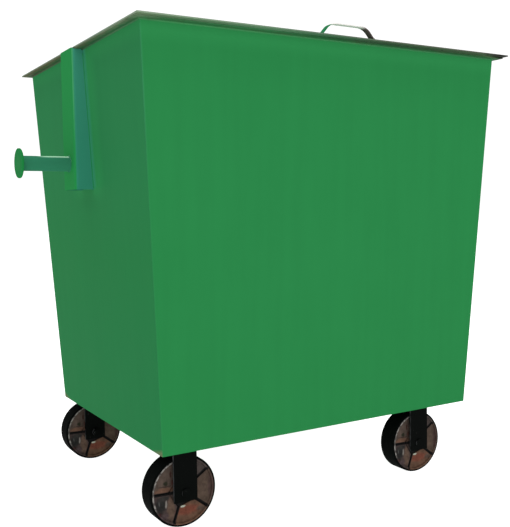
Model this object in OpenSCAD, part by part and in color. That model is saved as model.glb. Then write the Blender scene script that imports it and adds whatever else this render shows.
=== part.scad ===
// Steel waste container on four fixed castors, with a lid hinged at the rear and a trunnion on each side.
// Sizes are in millimetres. +Z is up, the front wall faces -Y and the trunnions point along X.
// The origin is on the ground, under the middle of the body.

/* [Body] */
// Outer length of the body across its top edge, along X
body_l = 1053; // [950:1:1300]
// Outer width of the body across its top edge, along Y
body_w = 825; // [760:1:900]
// Height of the walls, from their bottom edges to the rim
wall_h = 970; // [700:1:1200]
// How far each wall leans in from the rim down to its bottom edge
taper = 53; // [30:1:70]
// Thickness of the wall sheet
sheet_t = 2.5; // [1.5:0.1:3]
// Width of the flat rim folded outwards along the top of each wall
rim_w = 20; // [14:1:20]
// Inner radius of the fold between a wall and its rim
rim_fold_r = 3; // [1:0.5:5]
// Height of the floor's underside above the walls' bottom edges
floor_up = 42; // [30:1:70]
// Thickness of the floor sheet
floor_t = 3; // [2:0.5:5]

/* [Floor bearers] */
// Thickness of the folded bearers under the floor
bearer_t = 3; // [2:0.5:4]
// Inner radius of the bearers' folds
bearer_fold_r = 3; // [1:0.5:4]

/* [Lid] */
// Thickness of the lid sheet
lid_t = 3; // [2:0.5:4]
// How far the lid reaches past the body at each side
lid_over_side = 21; // [21:1:40]
// How far the lid reaches past the body at the front and the rear
lid_over_end = 38; // [34:1:50]
// Space between the rim and the closed lid
lid_gap = 0.3; // [0.2:0.1:1]
// Space between the middles of the two lid stiffeners
stiffener_pitch = 400; // [200:1:480]
// Space between each end of a stiffener and the wall's top edge
stiffener_end_gap = 60; // [45:1:120]
// Overall width of a stiffener
stiffener_w = 70; // [60:1:90]
// Width of the flat crown of a stiffener
stiffener_crown = 26; // [20:1:34]
// Depth of a stiffener
stiffener_h = 22; // [12:1:30]
// Thickness of the stiffener sheet
stiffener_t = 2; // [1.5:0.1:2.5]

/* [Lid handle] */
// Distance between the handle's feet, outside to outside
handle_span = 156; // [146:1:220]
// Length of the handle's top, between the corners of its bends
handle_top = 106; // [96:1:122]
// Height of the handle above the lid
handle_h = 28; // [24:1:50]
// Width of the handle's strap
handle_w = 16; // [16:1:30]
// Thickness of the handle's strap
handle_t = 2.5; // [2:0.5:4]
// Inner radius of the handle's bends
handle_bend_r = 38; // [10:1:40]
// Space between the handle and the lid's front edge
handle_edge_gap = 1.5; // [1:0.5:30]

/* [Lid hinges] */
// Distance between the two hinges
hinge_pitch = 640; // [560:1:760]
// Diameter of the hinge pins
hinge_pin_d = 10; // [8:1:11]
// Width of the strap bolted to the lid
strap_w = 40; // [30:1:60]
// Thickness of the strap, also round its eye
strap_t = 3.5; // [3:0.5:4]
// Length of the strap from the pin to its tip
strap_l = 200; // [170:1:280]
// Thickness of the ears and the back plate of the bracket on the rear wall
ear_t = 5; // [4:0.5:8]
// Depth of the bracket below the rim
ear_drop = 60; // [40:1:90]
// Side clearance between the strap's eye and each ear
ear_gap = 0.5; // [0.3:0.1:1]
// Space between the rim and the lid's rear corner as the lid swings past it
swing_gap = 1; // [0.5:0.1:2]
// Diameter of the strap's bolts
strap_bolt_d = 8; // [6:1:10]

/* [Trunnions] */
// Width of the post on each side wall
post_w = 94; // [80:1:120]
// Thickness of the post's plate
post_t = 4; // [3:0.5:6]
// Inner radius of the post's folds
post_fold_r = 4; // [2:0.5:8]
// How far the post reaches below the rim
post_drop = 352; // [330:1:450]
// How far the post stands above the rim
post_rise = 0; // [0:1:10]
// Space between the post and the side edge of the lid
post_lid_gap = 4; // [2:1:10]
// Diameter of the trunnion pin
trunnion_d = 38; // [30:1:45]
// Height of the pin's axis below the rim
trunnion_drop = 286; // [230:1:300]
// Distance from the body's top edge to the pin's outer end
trunnion_reach = 158; // [120:1:200]
// Diameter of the flange at the end of the pin
flange_d = 74; // [60:1:100]
// Thickness of that flange
flange_t = 6; // [4:0.5:10]

/* [Castors] */
// Wheel diameter over the tyre
wheel_d = 170; // [140:1:200]
// Space between the top of a wheel and the level of the walls' bottom edges
wheel_gap = 13; // [10:1:40]
// Width of the tyre
tyre_w = 54; // [40:1:56]
// Depth of rubber seen round the rim
tyre_band = 5; // [4.5:0.5:12]
// Radius of the tyre's shoulders
tyre_shoulder = 4; // [2:0.5:4.5]
// Inner width of the fork
fork_gap = 68; // [58:1:76]
// Width of each fork leg
leg_w = 60; // [40:1:70]
// Thickness of each fork leg
leg_t = 5; // [4:0.5:8]
// How far the fork legs reach below the axle's centre
leg_end = 21; // [14:1:30]
// Length of the top plate, along X
plate_l = 110; // [100:1:140]
// Space from the legs to the top plate's edge, along Y
plate_lip = 5; // [3:1:10]
// Thickness of the top plate
plate_t = 5; // [4:0.5:8]
// How far the top plate's upper face lies above the walls' bottom edges
plate_up = 8; // [6:0.5:14]
// Space between the plates and the front and rear walls
castor_end_gap = 2; // [1:0.5:30]
// Space between the left wall and the plates next to it
castor_left_gap = 4; // [2:0.5:60]
// Space between the right wall and the plates next to it
castor_right_gap = 104; // [2:0.5:140]
// Bolt spacing in the top plate, along X
bolt_pitch_x = 76; // [60:1:80]
// Bolt spacing in the top plate, along Y
bolt_pitch_y = 44; // [36:1:46]
// Diameter of the top plate's bolts
bolt_d = 10; // [8:1:10]

/* [Axles and hubs] */
// Diameter of the axle bolt
axle_d = 12; // [10:1:14]
// Outer diameter of the sleeve that the bolt clamps between the legs
sleeve_d = 18; // [16:1:20]
// Outer diameter of the bush pressed into the hub
bush_d = 26; // [23:1:30]
// End play between the hub and the fork, in all
hub_play = 1; // [0.5:0.1:2]
// Outer diameter of the hub's boss
boss_d = 44; // [38:1:52]
// Depth of the wheel's face below the edge of its rim
face_depth = 4; // [2:0.5:6]
// Width of the rim's lip round the face
lip_w = 4; // [2:0.5:6]
// Depth of the tyre's seat below the rim's edge
seat_depth = 7; // [4:0.5:9]
// Number of panels on the wheel's face
panels = 5; // [3:1:8]
// Corner radius of the many-sided groove round the boss
panel_inner_r = 40; // [32:1:46]
// Width of the grooves between the panels
groove_w = 3.5; // [2:0.5:5]
// Depth of the grooves between the panels
groove_depth = 3; // [1:0.5:5]

/* [Hidden] */
CORNERS = ["front_left", "front_right", "rear_left", "rear_right"];
SIDES = ["left", "right"];
CASTOR_PIECES = ["castor_bracket", "castor_bolts", "axle_bolt", "axle_nut", "axle_sleeve",
    "wheel_bush", "wheel_hub", "wheel_tyre"];
SIDE_PIECES = ["trunnion_post", "trunnion_pin", "trunnion_flange", "hinge_bracket", "hinge_pin",
    "hinge_strap", "hinge_bolts", "lid_stiffener", "floor_bearer"];
$fn = 64;

// Radial clearance of parts that turn on each other, and of parts pressed together
run_fit = 0.06;
seat_fit = 0.05;
// Extra length with which a cutting shape passes through what it cuts
cut = 2;
// Flats that a fold's arc is drawn with
fold_steps = 8;

green = "#2c8648";
dark_green = "#246f3d";
black = "#0d100f";
rust = "#5c4237";
zinc = "#8d9190";
bronze = "#8a6a3c";

// Heights of the walls' bottom edges, the rim and the closed lid above the ground
ground_gap = wheel_d + wheel_gap;
rim_z = ground_gap + wall_h;
lid_z = rim_z + lid_gap;
lid_top_z = lid_z + lid_t;

// Thickness of a leaning wall measured level
lean = atan(taper / wall_h);
wall_run = sheet_t / cos(lean);

// Half sizes of the body's outside at a height above its bottom edges
function half_l(h) = body_l / 2 - taper * (1 - h / wall_h);
function half_w(h) = body_w / 2 - taper * (1 - h / wall_h);

// Corner cut off what stands in the fold between a wall and its rim
fold_relief = 1.3 * rim_fold_r;

// Hinge eye, and the pin's place: just as far behind the rim as lets the lid's rear corner swing past
pin_r = hinge_pin_d / 2;
eye_r = pin_r + run_fit + strap_t;
rear_space = lid_over_end - rim_w - swing_gap;
corner_swing = (pow(rear_space, 2) + pow(eye_r - strap_t, 2)) / (2 * rear_space);
hinge_back = rim_w + swing_gap + corner_swing;
hinge_y = body_w / 2 + hinge_back;
hinge_z = lid_top_z + strap_t - eye_r;
clevis_gap = strap_w + 2 * ear_gap;
clevis_w = clevis_gap + 2 * ear_t;
pin_head_t = 3;
pin_head_d = 1.4 * hinge_pin_d;
// The lid is notched round each bracket, past the ears' round ends
notch_w = clevis_w + 2 * pin_head_t + 6;
notch_in = eye_r + 3.5;
// Bolts of the strap, measured from the pin: one inside the rear wall, one near the tip
strap_bolts = [hinge_back + 45, strap_l - strap_w / 2];
strap_bolt_head_h = 0.5 * strap_bolt_d;
strap_nut_h = 0.8 * strap_bolt_d;
// Width across corners of a nut, from its bolt's diameter
function nut_d(d) = 1.85 * d;

// Post: its plate passes outside the lid's edge
post_out = lid_over_side + post_lid_gap + post_t;
trunnion_z = rim_z - trunnion_drop;
flange_chamfer = 1;

// Castor places
plate_w = fork_gap + 2 * (leg_t + plate_lip);
castor_y = half_w(0) - wall_run - castor_end_gap - plate_w / 2;
castor_left_x = -(half_l(0) - wall_run - castor_left_gap - plate_l / 2);
castor_right_x = half_l(0) - wall_run - castor_right_gap - plate_l / 2;
castor_places = [
    [castor_left_x, -castor_y], [castor_right_x, -castor_y],
    [castor_left_x, castor_y], [castor_right_x, castor_y]
];
// Heights above the axle's centre
axle_z = wheel_d / 2;
plate_z = ground_gap + plate_up - plate_t - axle_z;
bearer_h = floor_up - plate_up;
bolt_head_h = 0.64 * bolt_d;
nut_h = 0.8 * bolt_d;
hole_slack = 0.25;

// Axle and wheel
axle_head_d = 1.8 * axle_d;
axle_head_h = 3;
axle_nut_h = 0.8 * axle_d;
hub_len = fork_gap - hub_play;
rim_r = wheel_d / 2 - tyre_band;
seat_r = rim_r - seat_depth;
rim_half = tyre_w / 2 - 0.5;
face_half = rim_half - face_depth;
flange_in = rim_half - 5.5;
// Turn of the first groove, as the wheels stand
groove_turn = 34;

function unit(v) = v / norm(v);
function left_of(v) = [-v[1], v[0]];
function turned(v, a) = [v[0] * cos(a) - v[1] * sin(a), v[0] * sin(a) + v[1] * cos(a)];
function reversed(list) = [for (i = [len(list) - 1:-1:0]) list[i]];

// Signed angle from one direction to another
function turn_of(a, b) = atan2(a[0] * b[1] - a[1] * b[0], a * b);

// One face of a folded sheet: the path's points moved aside, with an arc at each fold of centre radius r
function sheet_side(path, r, aside) =
    let (last = len(path) - 1, way = [for (i = [0:last - 1]) unit(path[i + 1] - path[i])])
    concat(
        [path[0] + left_of(way[0]) * aside],
        [for (i = [1:1:last - 1])
            let (turn = turn_of(way[i - 1], way[i]), hand = sign(turn),
                start = path[i] - way[i - 1] * r * tan(abs(turn) / 2),
                spoke = -hand * left_of(way[i - 1]), centre = start - spoke * r)
            for (k = [0:fold_steps])
                centre + turned(spoke, turn * k / fold_steps) * (r - hand * aside)],
        [path[last] + left_of(way[last - 1]) * aside]
    );

// Section of a sheet folded along a centre line, each fold with the given inner radius
module folded(path, t, inner_r) {
    r = inner_r + t / 2;
    polygon(concat(sheet_side(path, r, t / 2), reversed(sheet_side(path, r, -t / 2))));
}

// A section drawn in Y and Z, pulled along X about the middle
module along_x(length) {
    rotate([90, 0, 90]) linear_extrude(length, center = true) children();
}

// A section drawn in X and Z, pulled along Y about the middle
module along_y(length) {
    rotate([90, 0, 0]) linear_extrude(length, center = true) children();
}

// The leaning block between two heights above the bottom edges, its faces set in from the walls' outsides
module leaning_block(h0, h1, inset) {
    translate([0, 0, ground_gap]) intersection() {
        along_y(2 * body_w) polygon([
            [-half_l(h0) + inset, h0], [half_l(h0) - inset, h0],
            [half_l(h1) - inset, h1], [-half_l(h1) + inset, h1]
        ]);
        along_x(2 * body_l) polygon([
            [-half_w(h0) + inset, h0], [half_w(h0) - inset, h0],
            [half_w(h1) - inset, h1], [-half_w(h1) + inset, h1]
        ]);
    }
}

// One wall facing -Y: a leaning sheet with its rim folded out, mitred at both ends.
// run is its length and half its distance from the middle, both at the top edge.
module wall(run, half) {
    corner = [-taper * sheet_t / 2 / wall_h - wall_run / 2, wall_h - sheet_t / 2];
    foot = [-taper - wall_run / 2, 0] - cut * [sin(lean), cos(lean)];
    reach = run / 2 + rim_w + cut;
    depth = taper + 2 * wall_run;
    intersection() {
        translate([0, -half, ground_gap]) rotate([90, 0, -90]) linear_extrude(2 * reach, center = true)
            folded([foot, corner, [rim_w, corner[1]]], sheet_t, rim_fold_r);
        translate([0, 0, ground_gap]) linear_extrude(wall_h + cut) polygon([
            [-reach, -half - rim_w - cut], [reach, -half - rim_w - cut],
            [run / 2 - depth, -half + depth], [-run / 2 + depth, -half + depth]
        ]);
    }
}

module front_wall() {
    color(green) wall(body_l, body_w / 2);
}

module rear_wall() {
    color(green) rotate([0, 0, 180]) wall(body_l, body_w / 2);
}

module left_wall() {
    color(green) rotate([0, 0, -90]) wall(body_w, body_l / 2);
}

module right_wall() {
    color(green) rotate([0, 0, 90]) wall(body_w, body_l / 2);
}

module floor_panel() {
    color(dark_green) leaning_block(floor_up, floor_up + floor_t, wall_run);
}

// Folded channel from the front wall to the rear wall, open towards the floor, on the castors' top plates
module floor_bearer(x) {
    wide = plate_l / 2 - bearer_t / 2;
    color(dark_green) intersection() {
        translate([x, 0, ground_gap + plate_up]) difference() {
            along_y(body_w) folded([
                [-wide, bearer_h], [-wide, bearer_t / 2], [wide, bearer_t / 2], [wide, bearer_h]
            ], bearer_t, bearer_fold_r);
            for (y = [-castor_y, castor_y])
                translate([0, y, -cut]) bolt_places() cylinder(h = bearer_t + 2 * cut, d = bolt_d + 2 * hole_slack);
        }
        leaning_block(0, floor_up, wall_run);
    }
}

module lid_panel() {
    color(green) translate([0, 0, lid_z]) linear_extrude(lid_t) difference() {
        square([body_l + 2 * lid_over_side, body_w + 2 * lid_over_end], center = true);
        for (x = [-hinge_pitch / 2, hinge_pitch / 2]) {
            translate([x - notch_w / 2, hinge_y - notch_in]) square([notch_w, notch_in + lid_over_end]);
            for (y = strap_bolts)
                translate([x, hinge_y - y]) circle(d = strap_bolt_d + 2 * hole_slack);
        }
    }
}

// Steel strap bent into a grip, its feet standing on the lid
module lid_handle() {
    lean_x = (handle_span - handle_top) / 2 / (handle_h - handle_t / 2);
    foot = [handle_span / 2 - handle_t / 2 + cut * lean_x, -cut];
    shoulder = [handle_top / 2, handle_h - handle_t / 2];
    y = -body_w / 2 - lid_over_end + handle_edge_gap + handle_w / 2;
    color(green) translate([0, y, lid_top_z]) along_y(handle_w) intersection() {
        folded([[-foot[0], foot[1]], [-shoulder[0], shoulder[1]], shoulder, foot], handle_t, handle_bend_r);
        translate([-handle_span, 0]) square([2 * handle_span, handle_h]);
    }
}

// Folded top-hat rail under the lid, inside the mouth of the body
module lid_stiffener(x) {
    mid = -stiffener_t / 2;
    low = -stiffener_h + stiffener_t / 2;
    root = stiffener_crown / 2 + 6;
    color(dark_green) translate([x, 0, lid_z]) along_y(body_w - 2 * stiffener_end_gap) folded([
        [-stiffener_w / 2, mid], [-root, mid], [-stiffener_crown / 2, low],
        [stiffener_crown / 2, low], [root, mid], [stiffener_w / 2, mid]
    ], stiffener_t, 2);
}

// Two ears and a back plate on the rear wall. The ears rise past the rim's edge to carry the pin.
module hinge_bracket(x) {
    back = body_w / 2 - hinge_y;
    slope = taper / wall_h;
    top = rim_z - sheet_t - hinge_z;
    low = top - ear_drop;
    brow = top - fold_relief;
    // Distance from the pin to the leaning wall at a height beside the pin
    function wall_y(z) = back + (hinge_z + z - rim_z) * slope;
    ear_r = eye_r - 0.1;
    color(green) translate([x, hinge_y, hinge_z]) {
        difference() {
            for (side = [-1, 1])
                translate([side * (clevis_gap + ear_t) / 2, 0, 0]) along_x(ear_t) {
                    circle(ear_r);
                    polygon([
                        [wall_y(brow), brow], [wall_y(top) + fold_relief, top],
                        [-ear_r * cos(20), top], [ear_r * cos(60), -ear_r * sin(60)],
                        [-ear_r * sin(30), -ear_r * cos(30)], [wall_y(low) + 12, low], [wall_y(low), low]
                    ]);
                }
            along_x(clevis_w + cut) circle(pin_r + seat_fit);
        }
        along_x(clevis_gap) polygon([
            [wall_y(brow), brow], [wall_y(brow) + ear_t, brow], [wall_y(low) + ear_t, low], [wall_y(low), low]
        ]);
    }
}

module hinge_pin(x) {
    color(zinc) translate([x, hinge_y, hinge_z]) {
        along_x(clevis_w) circle(pin_r);
        for (side = [-1, 1])
            translate([side * (clevis_w + pin_head_t) / 2, 0, 0]) along_x(pin_head_t) circle(d = pin_head_d);
    }
}

// Flat strap on the lid with its end rolled round the pin
module hinge_strap(x) {
    color(green) translate([x, hinge_y, hinge_z]) difference() {
        intersection() {
            along_x(strap_w) {
                circle(eye_r);
                translate([-strap_l, eye_r - strap_t]) square([strap_l, strap_t]);
            }
            translate([0, 0, -eye_r - cut]) linear_extrude(2 * (eye_r + cut)) {
                translate([-strap_w / 2, -strap_l + strap_w / 2]) square([strap_w, strap_l]);
                translate([0, -strap_l + strap_w / 2]) circle(d = strap_w);
            }
        }
        along_x(strap_w + cut) circle(pin_r + run_fit);
        for (y = strap_bolts)
            translate([0, -y, 0]) cylinder(h = 2 * eye_r, d = strap_bolt_d + 2 * hole_slack);
    }
}

// Round-headed bolts through the strap and the lid, each with its nut underneath
module hinge_bolts(x) {
    grip = strap_t + lid_t;
    for (y = strap_bolts)
        translate([x, hinge_y - y, lid_z]) {
            color(zinc) {
                translate([0, 0, -strap_nut_h - 2]) cylinder(h = grip + strap_nut_h + 2, d = strap_bolt_d);
                translate([0, 0, grip]) intersection() {
                    cylinder(h = strap_bolt_head_h, d = 2.2 * strap_bolt_d);
                    translate([0, 0, -1.4 * strap_bolt_d]) sphere(r = 1.85 * strap_bolt_d);
                }
                translate([0, 0, -strap_nut_h]) nut(strap_bolt_d, strap_nut_h);
            }
        }
}

// Hexagon nut with its bore
module nut(d, h) {
    difference() {
        cylinder(h = h, d = nut_d(d), $fn = 6);
        translate([0, 0, -cut]) cylinder(h = h + 2 * cut, d = d + 2 * seat_fit, $fn = 32);
    }
}

// Folded channel standing on the side wall. Its flanges end under the rim, and its web passes the lid.
module trunnion_post() {
    outer = body_l / 2 + post_out - post_t / 2;
    wide = post_w / 2 - post_t / 2;
    brow = rim_z - sheet_t;
    fold_in = half_l(wall_h - sheet_t) - cut;
    fold_out = fold_in + fold_relief + 2 * cut;
    color(green) difference() {
        translate([0, 0, rim_z - post_drop]) linear_extrude(post_drop + post_rise) folded([
            [half_l(0), -wide], [outer, -wide], [outer, wide], [half_l(0), wide]
        ], post_t, post_fold_r);
        leaning_block(-cut, wall_h + post_rise + cut, 0);
        translate([0, -post_w, brow])
            cube([outer - post_t / 2, 2 * post_w, post_rise + sheet_t + cut]);
        along_y(2 * post_w) polygon([
            [fold_in, brow + cut], [fold_in, brow - fold_relief - cut], [fold_out, brow + cut]
        ]);
        translate([outer, 0, trunnion_z]) along_x(3 * post_t) circle(d = trunnion_d + 2 * seat_fit);
    }
}

module trunnion_pin() {
    color("#2c7860") difference() {
        translate([0, 0, trunnion_z]) rotate([0, 90, 0]) cylinder(h = body_l / 2 + trunnion_reach, d = trunnion_d);
        leaning_block(0, wall_h, 0);
    }
}

// Collar welded round the end of the pin, flush with its outer end
module trunnion_flange() {
    r = flange_d / 2;
    c = flange_chamfer;
    color(green) translate([body_l / 2 + trunnion_reach - flange_t, 0, trunnion_z]) rotate([0, 90, 0])
        rotate_extrude() polygon([
            [trunnion_d / 2 + seat_fit, 0], [r - c, 0], [r, c], [r, flange_t - c], [r - c, flange_t],
            [trunnion_d / 2 + seat_fit, flange_t]
        ]);
}

// Places of the four bolts in a castor's top plate
module bolt_places() {
    for (x = [-1, 1], y = [-1, 1])
        translate([x * bolt_pitch_x / 2, y * bolt_pitch_y / 2, 0]) children();
}

// Top plate with two flat legs. All castor pieces are drawn about the wheel's centre.
module castor_bracket() {
    color(black) difference() {
        union() {
            translate([-plate_l / 2, -plate_w / 2, plate_z]) cube([plate_l, plate_w, plate_t]);
            for (side = [-1, 1])
                translate([-leg_w / 2, side * (fork_gap + leg_t) / 2 - leg_t / 2, -leg_end])
                    cube([leg_w, leg_t, plate_z + leg_end]);
        }
        translate([0, 0, plate_z - cut]) bolt_places()
            cylinder(h = plate_t + 2 * cut, d = bolt_d + 2 * hole_slack);
        rotate([90, 0, 0]) cylinder(h = plate_w, d = axle_d + 2 * seat_fit, center = true);
    }
}

// Hexagon bolts up through the plate and the bearer, with their nuts
module castor_bolts() {
    grip = plate_t + bearer_t;
    color(zinc) translate([0, 0, plate_z]) bolt_places() {
        translate([0, 0, -bolt_head_h]) cylinder(h = bolt_head_h, d = nut_d(bolt_d), $fn = 6);
        cylinder(h = grip + nut_h + 2, d = bolt_d);
        translate([0, 0, grip]) nut(bolt_d, nut_h);
    }
}

// Bolt across the fork: a low round head outside, its nut inside
module axle_bolt() {
    half = fork_gap / 2 + leg_t;
    color(black) rotate([90, 0, 0]) {
        translate([0, 0, -half - axle_nut_h - 3]) cylinder(h = 2 * half + axle_nut_h + 3, d = axle_d);
        translate([0, 0, half]) cylinder(h = axle_head_h, d = axle_head_d);
    }
}

module axle_nut() {
    color(zinc) translate([0, fork_gap / 2 + leg_t, 0]) rotate([-90, 0, 0]) nut(axle_d, axle_nut_h);
}

// A tube along the axle
module tube(length, outer_d, inner_d) {
    rotate([90, 0, 0]) difference() {
        cylinder(h = length, d = outer_d, center = true);
        cylinder(h = length + cut, d = inner_d, center = true);
    }
}

module axle_sleeve() {
    color(zinc) tube(fork_gap, sleeve_d, axle_d + 2 * seat_fit);
}

module wheel_bush() {
    color(bronze) tube(hub_len, bush_d, sleeve_d + 2 * run_fit);
}

// Cast wheel: boss, face panels parted by grooves, and a rim with a seat for the tyre
module wheel_hub() {
    bore = bush_d / 2 + seat_fit;
    // Half of the outline, from the tyre's seat in to the bore
    outline = [
        [seat_r, flange_in], [rim_r, flange_in], [rim_r, rim_half - 0.5], [rim_r - 0.5, rim_half],
        [rim_r - lip_w, rim_half], [rim_r - lip_w - 1, face_half], [boss_d / 2, face_half],
        [boss_d / 2, hub_len / 2], [bore, hub_len / 2]
    ];
    color(rust) rotate([90, 0, 0]) difference() {
        rotate_extrude() polygon(concat(outline, [for (p = reversed(outline)) [p[0], -p[1]]]));
        for (side = [-1, 1])
            translate([0, 0, side * (face_half + cut / 2 - groove_depth / 2)])
                linear_extrude(groove_depth + cut, center = true) face_grooves();
    }
}

// Grooves between the panels: a many-sided ring and one groove outwards from each of its corners
module face_grooves() {
    groove_end = rim_r - lip_w - 3;
    rotate(groove_turn) {
        difference() {
            circle(panel_inner_r, $fn = panels);
            circle(panel_inner_r - groove_w / cos(180 / panels), $fn = panels);
        }
        for (i = [0:panels - 1])
            rotate(360 / panels * i) translate([panel_inner_r - groove_w, -groove_w / 2])
                square([groove_end - panel_inner_r + groove_w, groove_w]);
    }
}

// Solid rubber tyre: its foot lies in the rim's seat, and its tread is as wide as the wheel
module wheel_tyre() {
    outer = wheel_d / 2;
    s = tyre_shoulder;
    color(black) rotate([90, 0, 0]) rotate_extrude() {
        translate([seat_r + seat_fit, -flange_in + seat_fit])
            square([seat_depth + 1, 2 * (flange_in - seat_fit)]);
        difference() {
            union() {
                translate([seat_r, -tyre_w / 2]) square([outer - s - seat_r, tyre_w]);
                translate([seat_r, -tyre_w / 2 + s]) square([outer - seat_r, tyre_w - 2 * s]);
                for (side = [-1, 1])
                    translate([outer - s, side * (tyre_w / 2 - s)]) circle(s);
            }
            translate([0, -tyre_w]) square([rim_r + seat_fit, 2 * tyre_w]);
        }
    }
}

// Sets a piece drawn about a wheel's centre at its corner of the body
module at_corner(i) {
    translate([castor_places[i][0], castor_places[i][1], axle_z]) children();
}

// The same, with the side away from the body's middle facing outwards
module fork_at(i) {
    at_corner(i) rotate([0, 0, castor_places[i][1] > 0 ? 180 : 0]) children();
}

// Sets a piece drawn on the right side of the body at either side
module at_side(i) {
    rotate([0, 0, i == 0 ? 180 : 0]) children();
}

// Left and right places of what comes in pairs along X
function pair_x(i, pitch) = (i - 0.5) * pitch;
bearer_x = [castor_left_x, castor_right_x];

front_wall();
rear_wall();
left_wall();
right_wall();
floor_panel();
lid_panel();
lid_handle();
for (i = [0:1]) {
    at_side(i) trunnion_post();
    at_side(i) trunnion_pin();
    at_side(i) trunnion_flange();
    hinge_bracket(pair_x(i, hinge_pitch));
    hinge_pin(pair_x(i, hinge_pitch));
    hinge_strap(pair_x(i, hinge_pitch));
    hinge_bolts(pair_x(i, hinge_pitch));
    lid_stiffener(pair_x(i, stiffener_pitch));
    floor_bearer(bearer_x[i]);
}
for (i = [0:3]) {
    fork_at(i) castor_bracket();
    fork_at(i) castor_bolts();
    fork_at(i) axle_bolt();
    fork_at(i) axle_nut();
    at_corner(i) axle_sleeve();
    at_corner(i) wheel_bush();
    at_corner(i) wheel_hub();
    at_corner(i) wheel_tyre();
}
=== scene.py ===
# %% [markdown]
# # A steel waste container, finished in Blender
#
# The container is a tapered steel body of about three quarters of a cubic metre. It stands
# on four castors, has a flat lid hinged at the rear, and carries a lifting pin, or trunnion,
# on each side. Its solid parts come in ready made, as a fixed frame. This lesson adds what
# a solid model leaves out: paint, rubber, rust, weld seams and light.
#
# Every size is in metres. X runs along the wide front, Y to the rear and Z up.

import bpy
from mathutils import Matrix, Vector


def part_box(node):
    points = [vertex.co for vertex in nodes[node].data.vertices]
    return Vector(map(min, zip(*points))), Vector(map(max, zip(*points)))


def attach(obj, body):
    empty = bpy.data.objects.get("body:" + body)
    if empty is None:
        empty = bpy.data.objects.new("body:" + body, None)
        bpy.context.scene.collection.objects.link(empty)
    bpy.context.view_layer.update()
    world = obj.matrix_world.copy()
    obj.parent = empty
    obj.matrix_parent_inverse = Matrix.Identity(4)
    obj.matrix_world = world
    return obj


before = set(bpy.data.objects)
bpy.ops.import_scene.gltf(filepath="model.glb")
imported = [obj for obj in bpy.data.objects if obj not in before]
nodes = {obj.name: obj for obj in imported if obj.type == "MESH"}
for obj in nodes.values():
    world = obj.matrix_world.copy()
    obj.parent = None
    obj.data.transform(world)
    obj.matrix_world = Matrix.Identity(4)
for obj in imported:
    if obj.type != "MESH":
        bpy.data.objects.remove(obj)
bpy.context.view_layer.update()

# %% [markdown]
# Blender's tools are in bpy. The maths library is needed for angles, and Matrix and Vector
# for the camera. Loading leaves every solid part selected, and a modelling operator acts on
# all that is selected, so a small helper clears the selection before each new piece.

# %% Tools
import math

import bpy
from mathutils import Matrix, Vector

MM = 0.001


def clear_selection():
    if bpy.context.object and bpy.context.object.mode != "OBJECT":
        bpy.ops.object.mode_set(mode="OBJECT")
    bpy.ops.object.select_all(action="DESELECT")


clear_selection()
print("nothing selected:", len(bpy.context.selected_objects) == 0)

# %% [markdown]
# ## The camera
#
# The camera stands in front of the left corner, as high as a table, and looks down by four
# degrees, so little that upright lines stay nearly parallel. Its place was worked out from
# the edges of the body, so the walls, the lid and the wheels fall where they should. The lens
# is a little longer than a standard one, and the camera leans by nearly one degree, as a
# hand-held one does.

# %% Place the camera
def looking(forward, roll):
    """Turn of a camera that looks along forward, with its horizon turned by roll degrees."""
    forward = Vector(forward).normalized()
    right = forward.cross(Vector((0, 0, 1))).normalized()
    down = forward.cross(right)
    a = math.radians(roll)
    side = math.cos(a) * right + math.sin(a) * down
    foot = -math.sin(a) * right + math.cos(a) * down
    return Matrix((side, -foot, -forward)).transposed()


CAMERA_AT, LOOKS_ALONG, ROLL = (-1.1992, -2.0025, 0.7445), (0.5107, 0.8571, -0.0680), 0.88
camera_data = bpy.data.cameras.new("studio_camera")
camera_data.sensor_width, camera_data.lens = 36.0, 54.40
camera = bpy.data.objects.new("studio_camera", camera_data)
bpy.context.scene.collection.objects.link(camera)
camera.matrix_world = Matrix.Translation(CAMERA_AT) @ looking(LOOKS_ALONG, ROLL).to_4x4()
bpy.context.scene.camera = camera
bpy.context.scene.view_settings.view_transform = "Standard"
print("camera at", [round(v, 3) for v in camera.location], "lens", camera_data.lens, "mm")

# %% [markdown]
# ## Colours and nodes
#
# Colours are written as the hex values that a paint chart gives. Blender reckons in linear
# light, so one function turns them. A second function adds a node to a material, sets its
# values and joins its inputs, which keeps each finish short enough to read as a recipe.
# Settings that come up often have names of their own.

# %% Colour and node helpers
RGBA = {"data_type": "RGBA"}
TINT = {"data_type": "RGBA", "blend_type": "MULTIPLY"}
SMOOTH = {"interpolation_type": "SMOOTHSTEP"}
MULTIPLY, MULTIPLY_ADD, SUBTRACT, ABSOLUTE = [
    {"operation": name} for name in ("MULTIPLY", "MULTIPLY_ADD", "SUBTRACT", "ABSOLUTE")]
MAXIMUM, COSINE, FRACT, LENGTH = [
    {"operation": name} for name in ("MAXIMUM", "COSINE", "FRACT", "LENGTH")]


def colour(hex_value):
    """A paint chart's hex colour in linear light."""
    parts = [int(hex_value[i:i + 2], 16) / 255 for i in (1, 3, 5)]
    return tuple(p / 12.92 if p <= 0.04045 else ((p + 0.055) / 1.055) ** 2.4 for p in parts) + (1,)


def add(tree, kind, settings=None, **inputs):
    """Adds a node. Its kind is Blender's name for it, less "ShaderNode".

    An input is given by its name, with _ for a space, or as i and its number. It takes a value,
    an output to be joined to, or a node, whose first output in use it is then joined to.
    """
    node = tree.nodes.new("ShaderNode" + kind)
    for name, value in (settings or {}).items():
        setattr(node, name, value)
    for name, value in inputs.items():
        key = int(name[1:]) if name[0] == "i" and name[1:].isdigit() else name.replace("_", " ")
        if isinstance(value, bpy.types.Node):
            value = next(output for output in value.outputs if output.enabled)
        if isinstance(value, bpy.types.NodeSocket):
            tree.links.new(value, node.inputs[key])
        else:
            node.inputs[key].default_value = value
    return node


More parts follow.
